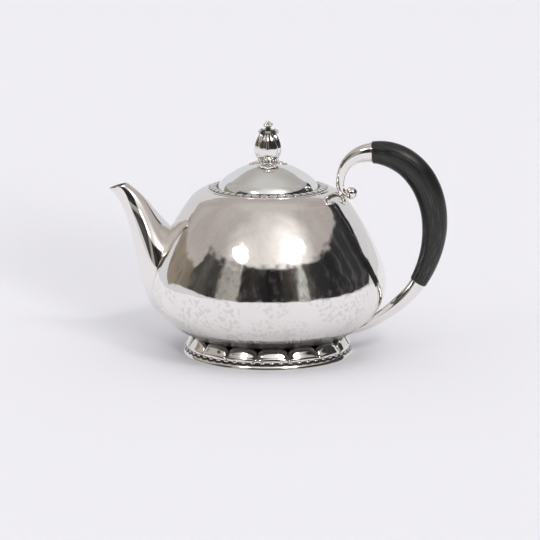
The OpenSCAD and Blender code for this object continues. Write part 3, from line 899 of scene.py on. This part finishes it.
# ceiling: warm grey, brightest in front, darker to the left and right
off_middle = n.math("ABSOLUTE", n.math("SUBTRACT", az, 8.0))
ceiling = n.mix(n.step(off_middle, 12.0, 62.0), (0.80, 0.765, 0.745, 1), (0.44, 0.40, 0.385, 1))
ceiling = n.mix(n.step(el, 50.0, 78.0), ceiling, (0.585, 0.56, 0.54, 1))
ceiling = n.mix(n.step(n.noise(direction, 3.0, 3.0), 0.35, 0.7, 0.0, 0.3), ceiling, (0.64, 0.61, 0.59, 1))

# dark room beyond the table, with paler uprights in it; each stop is a place on the circle and a colour
ramp = n.add("ShaderNodeValToRGB")
n.put(ramp.inputs["Fac"], n.step(n.math("ADD", az, n.math("MULTIPLY", wobble, 0.7)), -125.0, 125.0))
ramp.inputs["Fac"].links[0].from_node.interpolation_type = "LINEAR"
room_stops = [(0.0, 0.30, 0.255, 0.20), (0.10, 0.27, 0.235, 0.185), (0.155, 0.17, 0.145, 0.115),
              (0.165, 0.045, 0.042, 0.04), (0.20, 0.09, 0.085, 0.08), (0.255, 0.055, 0.053, 0.05),
              (0.29, 0.06, 0.058, 0.055), (0.30, 0.36, 0.345, 0.32), (0.375, 0.42, 0.40, 0.37),
              (0.385, 0.02, 0.018, 0.019), (0.43, 0.04, 0.037, 0.036), (0.50, 0.014, 0.012, 0.015),
              (0.56, 0.02, 0.018, 0.02), (0.60, 0.07, 0.06, 0.055), (0.622, 0.10, 0.09, 0.08),
              (0.635, 0.62, 0.63, 0.60), (0.655, 0.50, 0.51, 0.48), (0.665, 0.09, 0.08, 0.07),
              (0.70, 0.035, 0.034, 0.036), (0.80, 0.022, 0.022, 0.024), (0.90, 0.04, 0.042, 0.047),
              (1.0, 0.028, 0.029, 0.032)]
ramp.color_ramp.elements[0].position = room_stops[0][0]
ramp.color_ramp.elements[0].color = (*room_stops[0][1:], 1)
ramp.color_ramp.elements[1].position = room_stops[-1][0]
ramp.color_ramp.elements[1].color = (*room_stops[-1][1:], 1)
for stop_at, *rgb in room_stops[1:-1]:
    ramp.color_ramp.elements.new(stop_at).color = (*rgb, 1)
tall = n.add("ShaderNodeVectorMath", {0: direction, 1: (9.0, 9.0, 2.5)}, operation="MULTIPLY").outputs[0]
clutter = n.noise(tall, 1.0, 5.0, 0.65)
room = n.mix(n.step(clutter, 0.5, 0.68, 0.0, 0.55), ramp.outputs["Color"], (0.15, 0.14, 0.13, 1))
room = n.mix(n.step(clutter, 0.46, 0.3, 0.0, 0.6), room, (0.012, 0.011, 0.011, 1))

room_top = n.math("SUBTRACT", n.math("ADD", 38.0, wobble), n.math("MULTIPLY", wide, 0.05))
room_top = n.math("SUBTRACT", room_top, n.step(az, -76.0, -86.0, 0.0, 11.0))
sky = n.mix(n.step(n.math("SUBTRACT", el, room_top), -1.5, 1.5), room, ceiling)


def lamp(azimuth, elevation, half_wide, half_tall, soft, strength):
    """Soft lamp; half_wide and half_tall are its half sizes in degrees."""
    x = n.math("DIVIDE", n.math("SUBTRACT", az, azimuth), half_wide)
    y = n.math("DIVIDE", n.math("SUBTRACT", el, elevation), half_tall)
    d = n.math("SQRT", n.math("ADD", n.math("MULTIPLY", x, x), n.math("MULTIPLY", y, y)))
    return n.math("MULTIPLY", n.step(d, 1.0 + soft, 1.0 - soft), strength)


glow = n.math("ADD", lamp(34, 43, 9, 2.4, 0.9, 34.0), lamp(-37, 41, 6.5, 2.2, 0.9, 14.0))
glow = n.math("ADD", glow, n.math("ADD", lamp(31, 45, 22, 11, 0.95, 0.5), lamp(-36, 43, 15, 8, 0.95, 0.25)))
glow = n.math("MULTIPLY", glow, n.step(n.math("SUBTRACT", el, room_top), -2.5, 2.0))
lit = n.add("ShaderNodeVectorMath", {0: sky}, operation="ADD")
tinted = n.add("ShaderNodeVectorMath", {0: (1.0, 0.98, 0.95)}, operation="SCALE")
n.put(tinted.inputs["Scale"], glow)
n.put(lit.inputs[1], tinted.outputs[0])

# pale backdrop that curves up behind and at both sides, and pale paper below, higher on the left
rise = n.math("MINIMUM", n.math("MULTIPLY", n.math("SUBTRACT", wide, 113.0), 1.1), 38.0)
behind = n.step(n.math("SUBTRACT", el, rise), 0.4, -0.4)
from_bank = n.math("POWER", n.math("DIVIDE", n.math("ADD", az, 86.0), 24.0), 2.0)
bank = n.math("POWER", math.e, n.math("MULTIPLY", from_bank, -1.0))
front_edge = n.math("ADD", 1.5, n.math("MULTIPLY", bank, 6.0))
below = n.step(n.math("SUBTRACT", el, front_edge), 0.4, -0.4)
pale = n.math("MAXIMUM", behind, below)
surround = n.mix(pale, lit.outputs[0], (0.69, 0.69, 0.715, 1))

path_kind = n.add("ShaderNodeLightPath")
final = n.mix(path_kind.outputs["Is Diffuse Ray"], surround, (0.73, 0.724, 0.745, 1))
final = n.mix(path_kind.outputs["Is Camera Ray"], final, (*PALE, 1))
back = n.add("ShaderNodeBackground", {"Strength": 1.0})
n.put(back.inputs["Color"], final)
world_out = n.add("ShaderNodeOutputWorld")
n.put(world_out.inputs["Surface"], back.outputs[0])

sun_data = bpy.data.lights.new("low_sun", "SUN")
sun_data.energy = 1.4
sun_data.angle = math.radians(11)
sun = bpy.data.objects.new("low_sun", sun_data)
bpy.context.scene.collection.objects.link(sun)
sun_turn, sun_height = CAM_TURN + math.radians(24), math.radians(13)
to_sun = Vector((math.sin(sun_turn) * math.cos(sun_height), -math.cos(sun_turn) * math.cos(sun_height),
                 math.sin(sun_height)))
sun.rotation_euler = to_sun.to_track_quat("Z", "Y").to_euler()
sun.visible_glossy = False

cam_data = bpy.data.cameras.new("camera")
cam = bpy.data.objects.new("camera", cam_data)
bpy.context.scene.collection.objects.link(cam)
cam_data.sensor_width = 36
cam_data.lens = 193.9
cam_data.clip_end = 50
cam_data.clip_start = 0.05
ELEV, DIST = math.radians(11.7), 2.05
SIDE_STEP, TARGET_Z = 0.0013, 0.0585
target = Vector((SIDE_STEP * math.cos(CAM_TURN), SIDE_STEP * math.sin(CAM_TURN), TARGET_Z))
away = Vector((math.sin(CAM_TURN) * math.cos(ELEV), -math.cos(CAM_TURN) * math.cos(ELEV), math.sin(ELEV)))
cam.location = target + away * DIST
cam.rotation_euler = (-away).to_track_quat("-Z", "Y").to_euler()
bpy.context.scene.camera = cam
bpy.context.scene.view_settings.view_transform = "Standard"
